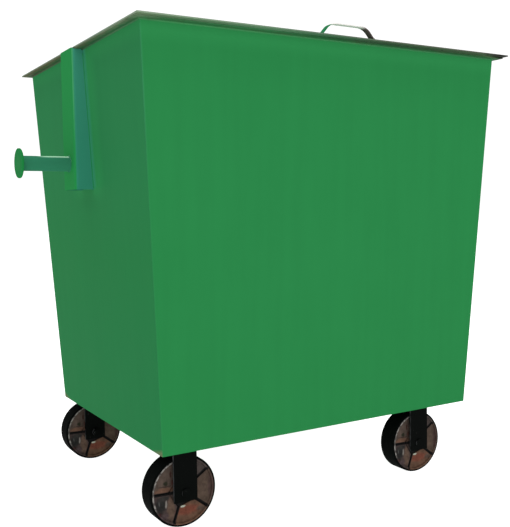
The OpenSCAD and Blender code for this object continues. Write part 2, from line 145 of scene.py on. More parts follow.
def blank_material(name):
    """A new material, its node tree and its shader, ready for a finish."""
    material = bpy.data.materials.new(name)
    material.use_nodes = True
    tree = material.node_tree
    tree.nodes.clear()
    shader = add(tree, "BsdfPrincipled")
    add(tree, "OutputMaterial", i0=shader)
    return material, tree, shader


print("mid grey in linear light:", [round(v, 3) for v in colour("#808080")[:3]])

# %% [markdown]
# ## Green enamel
#
# The sheet parts wear a satin alkyd enamel, sprayed on in one coat. Such a coat is smooth,
# with a faint orange peel whose bumps lie 2 to 3 mm apart, and after some seasons its green
# has faded in soft clouds 150 mm across. Both come from noise on Object coordinates: the
# clouds shift the colour by a few parts in a hundred, and the fine noise drives a bump.
# Alkyd has an IOR of about 1.5. A satin coat scatters its gloss, so the roughness is 0.55 and
# the gloss is turned down.

# %% Green enamel recipe
def enamel(name, hex_value, hex_faded, roughness=0.55, gloss=0.012):
    """Sprayed satin enamel: faded clouds 150 mm across and orange peel 2.5 mm apart."""
    material, tree, shader = blank_material(name)
    place = add(tree, "TexCoord").outputs["Object"]
    clouds = add(tree, "TexNoise", Vector=place, Scale=1 / 0.150, Detail=3.0, Roughness=0.55)
    coat = add(tree, "Mix", RGBA, i0=clouds, i6=colour(hex_value), i7=colour(hex_faded))
    tree.links.new(coat.outputs[2], shader.inputs["Base Color"])
    peel = add(tree, "TexNoise", Vector=place, Scale=1 / 0.0025, Detail=2.0)
    bump = add(tree, "Bump", Strength=0.08, Distance=0.0003, Height=peel)
    tree.links.new(bump.outputs[0], shader.inputs["Normal"])
    satin = add(tree, "MapRange", Value=clouds, i3=roughness - 0.05, i4=roughness + 0.07)
    tree.links.new(satin.outputs[0], shader.inputs["Roughness"])
    shader.inputs["IOR"].default_value = 1.5
    shader.inputs["Specular IOR Level"].default_value = gloss
    return material, tree, shader, place, coat


GREEN, FADED = "#277f44", "#2a8247"
DARK_GREEN, DARK_FADED = "#1b6236", "#22683b"
COLLAR_GREEN, COLLAR_FADED = "#1f8040", "#238344"
BLUE_GREEN, BLUE_FADED = "#358b72", "#398f76"
print("green enamel in linear light:", [round(v, 3) for v in colour(GREEN)[:3]])

# %% [markdown]
# ## Rubbed edges
#
# Paint is thinnest on a sheared edge, and an edge is what gets knocked. So the enamel there
# wears down to dull primer and steel, in a band that is never the same width for long.
# The band is found from the edge's known place. The distance to it is taken on Object
# coordinates, noise moves it to and fro, and a Map Range node turns it into a soft mask.
# What shows in the band isn't one colour either: it goes from brown at the far left over a
# pale grey green at the front left corner to nearly black at the far right. A Color Ramp
# holds these tints in their order along the edge.

# %% Edge mask
def edge_mask(tree, place, half_x, half_y, band):
    """1 on the edges of a level rectangle, and 0 further in than about band."""
    away = add(tree, "VectorMath", ABSOLUTE, i0=place)
    past = add(tree, "VectorMath", SUBTRACT, i0=away, i1=(half_x, half_y, 0))
    past_x, past_y, _ = add(tree, "SeparateXYZ", Vector=past).outputs
    nearest = add(tree, "Math", MAXIMUM, i0=past_x, i1=past_y)
    knocks = add(tree, "TexNoise", Vector=place, Scale=1 / 0.018, Detail=3.0)
    moved = add(tree, "Math", MULTIPLY_ADD, i0=knocks, i1=2 * band, i2=nearest)
    return add(tree, "MapRange", SMOOTH, Value=moved, i1=-0.4 * band, i2=0.5 * band)


RUN_START, RUN_END = -1.45, 0.55
FRONT_Y, WAVE = -0.45, 0.12


def tints_along(tree, place, stops):
    """Tints along an edge, from pairs of a run in metres and a colour.

    The run is X - Y + FRONT_Y. Along the front edge that is X itself, and from the front left
    corner backwards it goes on falling, so that one row of tints serves both edges. Noise
    moves the tints by WAVE, half of it each way.
    """
    spots = add(tree, "TexNoise", Vector=place, Scale=1 / 0.040, Detail=4.0, Roughness=0.6)
    x, y, _ = add(tree, "SeparateXYZ", Vector=place).outputs
    run = add(tree, "Math", SUBTRACT, i0=x, i1=y)
    wavy = add(tree, "Math", MULTIPLY_ADD, i0=spots, i1=WAVE, i2=run)
    shift = WAVE / 2 - FRONT_Y
    share = add(tree, "MapRange", Value=wavy, i1=RUN_START + shift, i2=RUN_END + shift)
    ramp = add(tree, "ValToRGB", Fac=share)
    steps = ramp.color_ramp.elements
    for i, (run_at, tint) in enumerate(stops):
        step = steps[i] if i < 2 else steps.new(0.99)
        step.position = (run_at - RUN_START) / (RUN_END - RUN_START)
        step.color = colour(tint)
    return ramp


print("edge mask ready for the rim and the lid")

# %% [markdown]
# ## Body sheets
#
# The four walls are folded from one sheet each and welded at the corners. Outside, the coat
# is even. The rim's cut edge is rubbed, the upright corners are rubbed and carry a painted
# highlight, and the bottom corners are chipped down to olive primer by kerbs. Inside, refuse
# scours the coat, and dirt darkens it.
# A wall's mesh has both faces, so the material must tell them apart. On the outer face, the
# normal points away from the body's middle. So the dot product of place and normal, both
# taken level, is above zero outside and below zero inside.

# %% The body's outer planes
(_, _, FOOT_Z), (_, _, RIM_Z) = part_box("front_wall")
# Half the length and width of the body's outside at its top, how far in its foot stands, and
# how far out the rim
HALF_L, HALF_W, LEAN_IN, RIM_WIDTH = 0.5265, 0.4125, 0.053, 0.020
LEAN = LEAN_IN / (RIM_Z - FOOT_Z)
RIM_X, RIM_Y = HALF_L + RIM_WIDTH, HALF_W + RIM_WIDTH


def wall_x(z):
    """Half the body's outer length at a height, and wall_y its half width."""
    return HALF_L - LEAN * (RIM_Z - z)


def wall_y(z):
    return HALF_W - LEAN * (RIM_Z - z)


print("the body is", round(2 * wall_x(FOOT_Z), 4), "m long at its foot and",
      round(2 * HALF_L, 4), "m at its rim")

# %% Wall finish
RIM_EDGE = ((-1.45, "#5e5744"), (-1.18, "#6e6a52"), (-0.88, "#627056"), (-0.74, "#748469"),
            (-0.66, "#7a8c70"), (-0.60, "#627058"), (-0.56, "#6c8468"), (-0.50, "#43764c"),
            (-0.25, "#3e7e50"), (-0.08, "#305f3b"), (0.15, "#39553d"), (0.42, "#405e40"),
            (0.485, "#56704f"), (0.515, "#0e120a"))
# Under the rim: brown at the left, and greens lighter than the shade there, as painted light
UNDER_RIM = ((-1.45, "#46463a"), (-1.34, "#464a3b"), (-1.18, "#485b42"), (-1.00, "#445e43"),
             (-0.84, "#3a6145"), (-0.74, "#456a4a"), (-0.66, "#45704e"), (-0.60, "#3d6a48"),
             (-0.56, "#3f7049"), (-0.50, "#418552"), (0.00, "#3f7c4f"), (0.45, "#3c744c"))
wall_enamel, tree, shader, place, coat = enamel("satin_green_enamel", GREEN, FADED)
across, along, height = add(tree, "SeparateXYZ", Vector=place).outputs
normal = add(tree, "TexCoord").outputs["Normal"]

upright = add(tree, "Mapping", Vector=place, Scale=(1 / 0.025, 1 / 0.025, 1 / 0.7))
rain = add(tree, "TexNoise", Vector=upright, Scale=1.0, Detail=2.0)
streaks = add(tree, "MapRange", Value=rain, i1=0.3, i2=0.7)
streaked = add(tree, "Mix", TINT, i0=0.04, i6=coat, i7=streaks)

# Both walls are near each other only at an upright corner: then both distances are small
in_x = add(tree, "Math", ABSOLUTE, i0=across)
in_y = add(tree, "Math", ABSOLUTE, i0=along)
lean_in = add(tree, "MapRange", {"clamp": False}, Value=height, i1=FOOT_Z, i2=RIM_Z, i4=LEAN_IN)
from_x = add(tree, "Math", SUBTRACT, i0=HALF_L - LEAN_IN, i1=in_x)
from_y = add(tree, "Math", SUBTRACT, i0=HALF_W - LEAN_IN, i1=in_y)
inner = add(tree, "Math", MAXIMUM, i0=from_x, i1=from_y)
corner = add(tree, "Math", i0=inner, i1=lean_in)
# The upright corners are rubbed, and the same band carries a painted highlight, stronger high up
corner_rub_and_highlight = add(tree, "MapRange", SMOOTH, Value=corner, i1=0.0045, i2=0.0015)
high_up = add(tree, "MapRange", Value=height, i1=RIM_Z - 0.35, i2=RIM_Z - 0.15, i3=0.08, i4=0.35)
thin = add(tree, "Math", MULTIPLY, i0=corner_rub_and_highlight, i1=high_up)
cornered = add(tree, "Mix", RGBA, i0=thin, i6=streaked, i7=colour("#3f8a62"))

# Chips at the foot of the side walls: within 80 mm of a corner and 20 mm of the edge
knocks = add(tree, "TexNoise", Vector=place, Scale=1 / 0.022, Detail=3.0)
to_end = add(tree, "MapRange", Value=from_y, i1=0.080, i2=0.0, i3=0.0, i4=0.021)
above = add(tree, "Math", SUBTRACT, i0=height, i1=FOOT_Z)
left_over = add(tree, "Math", SUBTRACT, i0=to_end, i1=above)
ragged = add(tree, "Math", MULTIPLY_ADD, i0=knocks, i1=-0.006, i2=left_over)
chip = add(tree, "MapRange", Value=ragged, i1=0.000, i2=0.009, i4=0.75)
sideways = add(tree, "Math", ABSOLUTE, i0=add(tree, "SeparateXYZ", Vector=normal).outputs["X"])
side_wall = add(tree, "MapRange", Value=sideways, i1=0.5, i2=0.8)
side_chip = add(tree, "Math", MULTIPLY, i0=chip, i1=side_wall)

# The side walls are bluer high up and darker low down
higher_up = add(tree, "MapRange", Value=height, i1=FOOT_Z + 0.45, i2=RIM_Z - 0.30, i4=0.24)
bluer_mask = add(tree, "Math", MULTIPLY, i0=higher_up, i1=side_wall)
bluer_high_up = add(tree, "Mix", RGBA, i0=bluer_mask, i6=cornered, i7=colour("#367e5c"))
low_down = add(tree, "MapRange", Value=height, i1=RIM_Z - 0.25, i2=FOOT_Z + 0.20, i4=0.22)
darker_mask = add(tree, "Math", MULTIPLY, i0=low_down, i1=side_wall)
darker_low_down = add(tree, "Mix", RGBA, i0=darker_mask, i6=bluer_high_up, i7=colour("#16704a"))
chipped = add(tree, "Mix", RGBA, i0=side_chip, i6=darker_low_down, i7=colour("#74785a"))

# Under the rim and beside the posts, a lighter green is painted light against the shade of
# the rim and the posts. On the 25 mm of wall next to the posts it is bluer, like the post
# sides, and lighter still, as painted light against their contact shade
lightened_under_lip = add(tree, "MapRange", SMOOTH, Value=height, i1=RIM_Z - 0.055, i2=RIM_Z - 0.006,
                i4=0.50)
(_, _, post_foot), (_, post_side, _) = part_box("trunnion_post_left")
near_post = add(tree, "MapRange", Value=in_y, i1=post_side + 0.085, i2=post_side)
above_foot = add(tree, "MapRange", Value=height, i1=post_foot - 0.030, i2=post_foot + 0.020)
on_side = add(tree, "Math", MULTIPLY, i0=above_foot, i1=side_wall)
lightened_beside_post = add(tree, "Math", MULTIPLY, i0=near_post, i1=on_side)
painted_light_mask = add(tree, "Math", MAXIMUM, i0=lightened_under_lip, i1=lightened_beside_post)
painted_light_coat = add(tree, "Mix", RGBA, i0=painted_light_mask, i6=chipped, i7=colour("#349354"))
bluer_and_lightened = add(tree, "MapRange", Value=in_y, i1=post_side + 0.025, i2=post_side, i4=0.85)
past_foot = add(tree, "MapRange", Value=height, i1=post_foot - 0.002, i2=post_foot + 0.010)
band_by_post = add(tree, "Math", MULTIPLY, i0=bluer_and_lightened, i1=past_foot)
over = add(tree, "Math", MULTIPLY, i0=lightened_beside_post, i1=band_by_post)
bluer_lightened_wall = add(tree, "Mix", RGBA, i0=over, i6=painted_light_coat, i7=colour("#43a085"))

# The rim's underside takes the UNDER_RIM tints: brown at the left, painted light elsewhere
rim = add(tree, "MapRange", Value=height, i1=RIM_Z - 0.0060, i2=RIM_Z - 0.0035)
rim_edge = add(tree, "Math", MULTIPLY, i0=rim, i1=edge_mask(tree, place, RIM_X, RIM_Y, 0.0015))
edge_tints = tints_along(tree, place, RIM_EDGE)
dirt_and_painted_light = add(tree, "Mix", RGBA, i0=edge_mask(tree, place, RIM_X, RIM_Y, 0.010),
            i6=tints_along(tree, place, UNDER_RIM), i7=edge_tints)
under_rim = add(tree, "Mix", RGBA, i0=rim, i6=bluer_lightened_wall, i7=dirt_and_painted_light)
edged = add(tree, "Mix", RGBA, i0=rim_edge, i6=under_rim, i7=edge_tints)

level = add(tree, "VectorMath", MULTIPLY, i0=place, i1=(1, 1, 0))
facing = add(tree, "VectorMath", {"operation": "DOT_PRODUCT"}, i0=level, i1=normal)
inside = add(tree, "MapRange", Value=facing, i1=0.02, i2=-0.02)
scours = add(tree, "TexNoise", Vector=place, Scale=1 / 0.045, Detail=6.0, Roughness=0.7)
scour = add(tree, "MapRange", Value=scours, i1=0.45, i2=0.75)
scoured = add(tree, "Mix", RGBA, i0=scour, i6=colour("#1d5c34"), i7=colour("#4b4a38"))
finished = add(tree, "Mix", RGBA, i0=inside, i6=edged, i7=scoured)
tree.links.new(finished.outputs[2], shader.inputs["Base Color"])
print(wall_enamel.name, "has", len(tree.nodes), "nodes")


# %% Dress the walls
def dress(material, *names):
    """Gives solid parts a finish, and says how many."""
    for name in names:
        nodes[name].data.materials.clear()
        nodes[name].data.materials.append(material)
    print(material.name, "on", len(names), "solid parts")


SIDES = ("left", "right")
CORNERS = ("front_left", "front_right", "rear_left", "rear_right")
dress(wall_enamel, "front_wall", "rear_wall", "left_wall", "right_wall")

# %% [markdown]
# ## Lid sheet
#
# The lid is a plain sheet with sheared edges. Its edge is the part that hands, hooks and
# other bins meet first, so the green is gone from most of it and dull steel shows.
# The same mask as on the rim finds the edge, with the lid's own half sizes. Underneath, where
# the sheet overhangs the rim, the coat is a dull grey green: road dirt, and painted shade for
# the overhang. Further in, damp has left blotches on it, a hand's width across. On top lies a
# thin film of dust. Rain has gathered it into patches of the same size, and what slides over
# the lid has scratched fine lines through it, mostly from front to rear.

# %% Lid finish
LID_EDGE = ((-1.45, "#6f7f68"), (-1.10, "#74846f"), (-0.80, "#7f9480"), (-0.58, "#8a9c86"),
            (-0.50, "#80957c"), (-0.25, "#6f8a70"), (-0.08, "#5c7560"), (0.12, "#5a6655"),
            (0.46, "#50584a"), (0.505, "#2a2c25"))
# Under the lid's edge: road dirt and painted shade, darkest at the far right
UNDER_LID = ((-1.45, "#41473a"), (-1.38, "#575b49"), (-1.22, "#56664e"), (-1.08, "#54694d"),
             (-0.90, "#506e53"), (-0.74, "#5d7258"), (-0.66, "#6f8469"), (-0.60, "#5a6950"),
             (-0.56, "#66795d"), (-0.50, "#5e795b"), (-0.22, "#608868"), (-0.08, "#477253"),
             (0.10, "#415b43"), (0.46, "#4a6048"), (0.50, "#292d26"))
LID_X, LID_Y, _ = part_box("lid_panel")[1]
lid_enamel, tree, shader, place, coat = enamel("lid_enamel_rubbed_at_the_edge", GREEN, FADED)
downward = add(tree, "SeparateXYZ", Vector=add(tree, "TexCoord").outputs["Normal"]).outputs["Z"]
below = add(tree, "MapRange", Value=downward, i1=-0.3, i2=-0.6)
damp = add(tree, "TexNoise", Vector=place, Scale=1 / 0.100, Detail=6.0, Roughness=0.65)
blotch = add(tree, "MapRange", Value=damp, i1=0.42, i2=0.70)
blotched = add(tree, "Mix", RGBA, i0=blotch, i6=colour("#2a6a42"), i7=colour("#4a5a44"))
underside = add(tree, "Mix", RGBA, i0=edge_mask(tree, place, LID_X, LID_Y, 0.050), i6=blotched,
                i7=tints_along(tree, place, UNDER_LID))
dirt_and_painted_light = add(tree, "Mix", RGBA, i0=below, i6=coat, i7=underside)
above = add(tree, "MapRange", Value=downward, i1=0.6, i2=0.9)
film = add(tree, "TexNoise", Vector=place, Scale=1 / 0.090, Detail=6.0, Roughness=0.6)
lengthwise = add(tree, "Mapping", Vector=place, Scale=(1 / 0.003, 1 / 0.180, 1))
scratches = add(tree, "TexNoise", Vector=lengthwise, Scale=1.0, Detail=2.0)
settled = add(tree, "MapRange", Value=film, i1=0.35, i2=0.75, i3=0.06, i4=0.42)
clean = add(tree, "MapRange", Value=scratches, i1=0.62, i2=0.70, i3=1.0, i4=0.35)
left = add(tree, "Math", MULTIPLY, i0=clean, i1=above)
dust = add(tree, "Math", MULTIPLY, i0=settled, i1=left)
dusted = add(tree, "Mix", RGBA, i0=dust, i6=dirt_and_painted_light, i7=colour("#6d8f72"))
wear_and_highlight = add(tree, "Mix", RGBA, i0=edge_mask(tree, place, LID_X, LID_Y, 0.0025), i6=dusted,
             i7=tints_along(tree, place, LID_EDGE))
tree.links.new(wear_and_highlight.outputs[2], shader.inputs["Base Color"])
dress(lid_enamel, "lid_panel")

# %% [markdown]
# ## Thin green under the floor and the lid
#
# The spray gun reaches the bearers, the floor and the lid's stiffeners badly. The coat is
# thin and dull there, and brown rust blooms through it in spots 20 mm across. A noise with a
# high threshold places the blooms, and its finer octaves break up their edges.

# %% Thin enamel finish
thin_enamel, tree, shader, place, coat = enamel("thin_green_enamel", DARK_GREEN, DARK_FADED,
                                                0.65, 0.08)
blooms = add(tree, "TexNoise", Vector=place, Scale=1 / 0.020, Detail=5.0, Roughness=0.65)
bloom = add(tree, "MapRange", Value=blooms, i1=0.56, i2=0.68)
bloomed = add(tree, "Mix", RGBA, i0=bloom, i6=coat, i7=colour("#4d3a2a"))
tree.links.new(bloomed.outputs[2], shader.inputs["Base Color"])
dress(thin_enamel, "floor_panel", *[f"{part}_{side}" for side in SIDES
                                    for part in ("floor_bearer", "lid_stiffener")])

# %% [markdown]
# ## Trunnion posts
#
# Each post is a folded channel. Its broad face carries the body's green, and its sides are a
# shade bluer. Near the top the sides are lighter, as painted light against the shade under the
# lid. Along the folds a paler green is painted on as a highlight, most of all near the top.
# The object's own normal tells the three apart. It points along X on the broad face and along
# Y on a side, and it lies between the two on a fold. It is read from Texture Coordinate, so
# the colours stay put when a part turns.

# %% Post finish
post_enamel, tree, shader, place, coat = enamel("post_enamel_with_bluer_sides",
                                                "#248b47", "#288e4a")
height = add(tree, "SeparateXYZ", Vector=place).outputs["Z"]
normal = add(tree, "TexCoord").outputs["Normal"]
facing = add(tree, "VectorMath", ABSOLUTE, i0=normal)
broad, narrow, _ = add(tree, "SeparateXYZ", Vector=facing).outputs
to_side = add(tree, "MapRange", Value=narrow, i1=0.75, i2=0.97)
blue_clouds = add(tree, "TexNoise", Vector=place, Scale=1 / 0.060, Detail=2.0)
bluer = add(tree, "Mix", RGBA, i0=blue_clouds, i6=colour(BLUE_GREEN), i7=colour(BLUE_FADED))
# Painted light: the sides lighter near the top, against the shade under the lid
lightened_near_top = add(tree, "MapRange", Value=height, i1=RIM_Z - 0.22, i2=RIM_Z - 0.02, i4=0.4)
bluer_and_lightened = add(tree, "Mix", RGBA, i0=lightened_near_top, i6=bluer, i7=colour("#4ba58c"))
sided = add(tree, "Mix", RGBA, i0=to_side, i6=coat, i7=bluer_and_lightened)
# Painted highlight along the folds, strongest near the top
between = add(tree, "Math", MULTIPLY, i0=broad, i1=narrow)
fold = add(tree, "MapRange", Value=between, i1=0.41, i2=0.495)
rising = add(tree, "MapRange", Value=height, i1=RIM_Z - 0.25, i2=RIM_Z - 0.11, i4=0.58)
fold_highlight = add(tree, "Math", MULTIPLY, i0=fold, i1=rising)
folded = add(tree, "Mix", RGBA, i0=fold_highlight, i6=sided, i7=colour("#58a97c"))
tree.links.new(folded.outputs[2], shader.inputs["Base Color"])
dress(post_enamel, "trunnion_post_left", "trunnion_post_right")

# %% [markdown]
# ## Trunnion pins
#
# A lifting arm hooks under and over the pins. The same bluer green covers them, and along
# the very top, next to the post, a pale green highlight is painted on. So two masks are
# multiplied: one from the normal's height, which picks the top, and one from the distance
# along X, which fades it out towards the collar. The same distance finds the pin's flat end,
# which has the collar's green.

# %% Pin finish
PIN_END = -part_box("trunnion_pin_left")[0][0]
HIGHLIGHT_END = 0.642
pin_enamel, tree, shader, place, coat = enamel("pin_enamel_with_painted_highlight",
                                               "#317d5d", "#347f61", 0.40)
upward = add(tree, "SeparateXYZ", Vector=add(tree, "TexCoord").outputs["Normal"]).outputs["Z"]
# Painted highlight: pale green along the top of the pin, fading towards the collar
top = add(tree, "MapRange", Value=upward, i1=0.75, i2=0.92)
off = add(tree, "Math", ABSOLUTE, i0=add(tree, "SeparateXYZ", Vector=place).outputs["X"])
inboard = add(tree, "MapRange", Value=off, i1=HIGHLIGHT_END, i2=HIGHLIGHT_END - 0.030)
highlight = add(tree, "Math", MULTIPLY, i0=top, i1=inboard)
highlighted = add(tree, "Mix", RGBA, i0=highlight, i6=coat, i7=colour("#c8f7d8"))
end_face = add(tree, "MapRange", Value=off, i1=PIN_END - 0.0010, i2=PIN_END - 0.0005)
ended = add(tree, "Mix", RGBA, i0=end_face, i6=highlighted, i7=colour(COLLAR_GREEN))
tree.links.new(ended.outputs[2], shader.inputs["Base Color"])
dress(pin_enamel, "trunnion_pin_left", "trunnion_pin_right")

# %% Collars and hinges
fitting_enamel, tree, shader, place, coat = enamel("fitting_enamel", COLLAR_GREEN,
                                                   COLLAR_FADED, 0.50, 0.008)
scuffs = add(tree, "TexNoise", Vector=place, Scale=1 / 0.012, Detail=5.0, Roughness=0.7)
scuff = add(tree, "MapRange", Value=scuffs, i1=0.6, i2=0.75)
scuffed = add(tree, "Mix", RGBA, i0=scuff, i6=coat, i7=colour("#2a6f42"))
tree.links.new(scuffed.outputs[2], shader.inputs["Base Color"])
dress(fitting_enamel, *[f"{part}_{side}" for side in SIDES
                        for part in ("trunnion_flange", "hinge_bracket", "hinge_strap")])

# %% [markdown]
# ## Lid handle
#
# The handle is a bent steel strap. Hands have worn the enamel off its top, which is bare
# steel, painted nearly white so that it reads light in the shade below it. Its sides and its
# right leg are painted a dark brown grey as painted shade, and only the left leg is green.
# Height picks the top, and the place along X picks the rest.

# %% Handle finish
GRIP_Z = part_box("lid_handle")[1][2]
handle_enamel, tree, shader, place, coat = enamel("handle_enamel_worn_by_hands",
                                                  "#26784a", "#2b7f4f")
across, _, height = add(tree, "SeparateXYZ", Vector=place).outputs
# Painted shade: dark brown grey on the sides and the right leg
dark_end = add(tree, "MapRange", Value=across, i1=-0.050, i2=-0.034)
mottle = add(tree, "TexNoise", Vector=place, Scale=1 / 0.010, Detail=4.0)
dark_shade_tint = add(tree, "Mix", RGBA, i0=mottle, i6=colour("#504947"), i7=colour("#5c524e"))
painted_shade_on_right = add(tree, "Mix", RGBA, i0=dark_end, i6=coat, i7=dark_shade_tint)
on_top = add(tree, "MapRange", Value=height, i1=GRIP_Z - 0.0065, i2=GRIP_Z - 0.0040)
held = add(tree, "MapRange", Value=across, i1=0.054, i2=0.038)
grip = add(tree, "Math", MULTIPLY, i0=on_top, i1=held)
# Bare steel on top, painted nearly white to read light in its shade
bare_top_painted_light = add(tree, "Mix", RGBA, i0=mottle, i6=colour("#f4f1ee"), i7=colour("#e4e1de"))
handled = add(tree, "Mix", RGBA, i0=grip, i6=painted_shade_on_right, i7=bare_top_painted_light)
tree.links.new(handled.outputs[2], shader.inputs["Base Color"])
dress(handle_enamel, "lid_handle")

# %% [markdown]
# ## Black castor forks
#
# The forks are dipped in black enamel, a thick, dull coat. Its own colour is nearly black.
# Stones knock grey specks out of it, 3 mm across in life and 5 mm here so that they show. The
# narrow sides of the legs, which the normal finds, carry a painted grey highlight in patches
# 30 mm long.

# %% Black enamel finish
black_enamel, tree, shader, place, coat = enamel("dipped_black_enamel",
                                                 "#060807", "#0b0d0c", 0.60, 0.015)
specks = add(tree, "TexNoise", Vector=place, Scale=1 / 0.005, Detail=2.0)
speck = add(tree, "MapRange", Value=specks, i1=0.72, i2=0.78)
specked = add(tree, "Mix", RGBA, i0=speck, i6=coat, i7=colour("#4a4b49"))
normal = add(tree, "TexCoord").outputs["Normal"]
sideways = add(tree, "Math", ABSOLUTE, i0=add(tree, "SeparateXYZ", Vector=normal).outputs["X"])
# Painted highlight on the narrow sides of the legs
narrow = add(tree, "MapRange", Value=sideways, i1=0.80, i2=0.95)
patches = add(tree, "TexNoise", Vector=place, Scale=1 / 0.030, Detail=3.0)
highlight_patches = add(tree, "MapRange", Value=patches, i1=0.35, i2=0.60)
side_highlight = add(tree, "Math", MULTIPLY, i0=narrow, i1=highlight_patches)
wear_and_highlight = add(tree, "Mix", RGBA, i0=side_highlight, i6=specked, i7=colour("#4b4d4e"))
tree.links.new(wear_and_highlight.outputs[2], shader.inputs["Base Color"])
dress(black_enamel, *[f"{part}_{c}" for c in CORNERS
                      for part in ("castor_bracket", "axle_bolt", "axle_nut")])

# %% [markdown]
# ## Zinc and bronze
#
# Bolts, nuts and sleeves are zinc plated and dulled by weather: a metal, grey, with soft
# cloudy patches 6 mm across. The bushes are sintered bronze, brown-yellow and a little
# rough. A metal's colour is its reflection, so both keep the default IOR.

# %% Metal finishes
def dull_metal(name, hex_clean, hex_dull, roughness, patch):
    """A metal with dull patches of a given size in metres."""
    material, tree, shader = blank_material(name)
    place = add(tree, "TexCoord").outputs["Object"]
    patches = add(tree, "TexNoise", Vector=place, Scale=1 / patch, Detail=4.0, Roughness=0.6)
    mix = add(tree, "Mix", RGBA, i0=patches, i6=colour(hex_clean), i7=colour(hex_dull))
    tree.links.new(mix.outputs[2], shader.inputs["Base Color"])
    rough = add(tree, "MapRange", Value=patches, i3=roughness - 0.1, i4=roughness + 0.15)
    tree.links.new(rough.outputs[0], shader.inputs["Roughness"])
    bump = add(tree, "Bump", Strength=0.15, Distance=0.0002, Height=patches)
    tree.links.new(bump.outputs[0], shader.inputs["Normal"])
    shader.inputs["Metallic"].default_value = 1.0
    return material


zinc = dull_metal("weathered_zinc_plate", "#b4b8b8", "#7d8180", 0.40, 0.006)
bronze = dull_metal("sintered_bronze", "#9a7444", "#6f5330", 0.45, 0.004)
dress(zinc, *[f"{part}_{c}" for c in CORNERS for part in ("castor_bolts", "axle_sleeve")],
      *[f"{part}_{s}" for s in SIDES for part in ("hinge_pin", "hinge_bolts")])
dress(bronze, *[f"wheel_bush_{c}" for c in CORNERS])

# %% [markdown]
# ## Wheels
#
# Wheel and tyre are cast and moulded round their axle, so their patterns are drawn round it
# too. A Mapping node moves Object coordinates to the wheel's middle, which is read from the
# frame. Each wheel has its own middle, and so its own copy of the material.

# %% Coordinates about a wheel
def wheel_middle(corner):
    low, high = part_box(f"wheel_tyre_{corner}")
    return [(a + b) / 2 for a, b in zip(low, high)]


def about_wheel(tree, corner):
    """Place, radius and angle about a wheel's axle. The angle is 0 along +X and grows upwards."""
    place = add(tree, "TexCoord").outputs["Object"]
    centred = add(tree, "Mapping", Vector=place, Location=[-v for v in wheel_middle(corner)])
    x, _, z = add(tree, "SeparateXYZ", Vector=centred).outputs
    flat = add(tree, "VectorMath", MULTIPLY, i0=centred, i1=(1, 0, 1))
    radius = add(tree, "VectorMath", LENGTH, i0=flat)
    angle = add(tree, "Math", {"operation": "ARCTAN2"}, i0=z, i1=x)
    return centred, flat, radius, angle


print({c: [round(v, 3) for v in wheel_middle(c)] for c in CORNERS})

# %% [markdown]
# ## Rusted cast iron
#
# A cast wheel is left unpainted and rusts at once. Its five panels have different tints, from
# grey brown to red. A Color Ramp with hard steps gives each panel its tint, driven by the
# angle. Near-black painted shade widens the grooves, which lie every 72 degrees from 34
# degrees on, runs on over the lip, and covers most of the many-sided field round the boss.
# Over an arc of the lip, a highlight is painted on in flecks.
#
# Then come the marks: a dark hollow, painted shade where a recess would lie, a band of orange
# rust above a groove, and pale spots, which are painted highlights. Each is an ellipse. A
# Mapping node moves its middle to the origin and shrinks its two half sizes to 1, so that the
# length of the result is 1 on the mark's edge. Noise has moved the coordinates before that,
# which frays every mark in the same way.

# %% Rusted wheel finish
PANELS = 5
TURN = 2 * math.pi / PANELS
FIRST_GROOVE, ARC_MIDDLE = math.radians(34), math.radians(156)
# Radii of the tyre, of the ground lip within it, and of the circle inside the dark field
TYRE_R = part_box("wheel_tyre_front_left")[1][2] - wheel_middle("front_left")[2]
RIM_R = TYRE_R - 0.0092
FIELD_R = 0.0334
FRAY = 9 * MM
PANEL_TINTS = ("#433b38", "#4e423b", "#3e3331", "#5b4335", "#4d3f36")
# Marks on the face, in millimetres: middle across and up from the axle, half sizes, colour
MARKS = ((-47, 9, 27, 6.5, "#5e4538"), (-46, 17.5, 15, 2.0, "#3d2f28"),
         (-27, 25, 4, 7, "#4b302a"), (-44, 25, 6, 5, "#27271c"), (-31, 45, 2.2, 8, "#36231e"),
         (-31, -38, 9.5, 27, "#58463b"), (-50, -52, 12, 6, "#46393a"),
         # The two dark marks on the next line are painted shade, where a recess would lie
         (-58, -25, 15, 18, "#232221"), (-50, -10, 14, 5, "#2b2927"),
         (-61, -20, 1.5, 6, "#454443"), (-62, -45, 5, 4, "#3b2422"),
         # The pale grey first mark on the next line and the very last mark are painted highlights
         (-43.7, -24, 2.4, 8, "#76716b"), (12, -48, 28, 11, "#683b2e"),
         (47, -51, 12, 6, "#52433a"), (75, 0, 9, 34, "#453531"), (-0.9, -36.7, 6, 2.7, "#a9ad9e"))


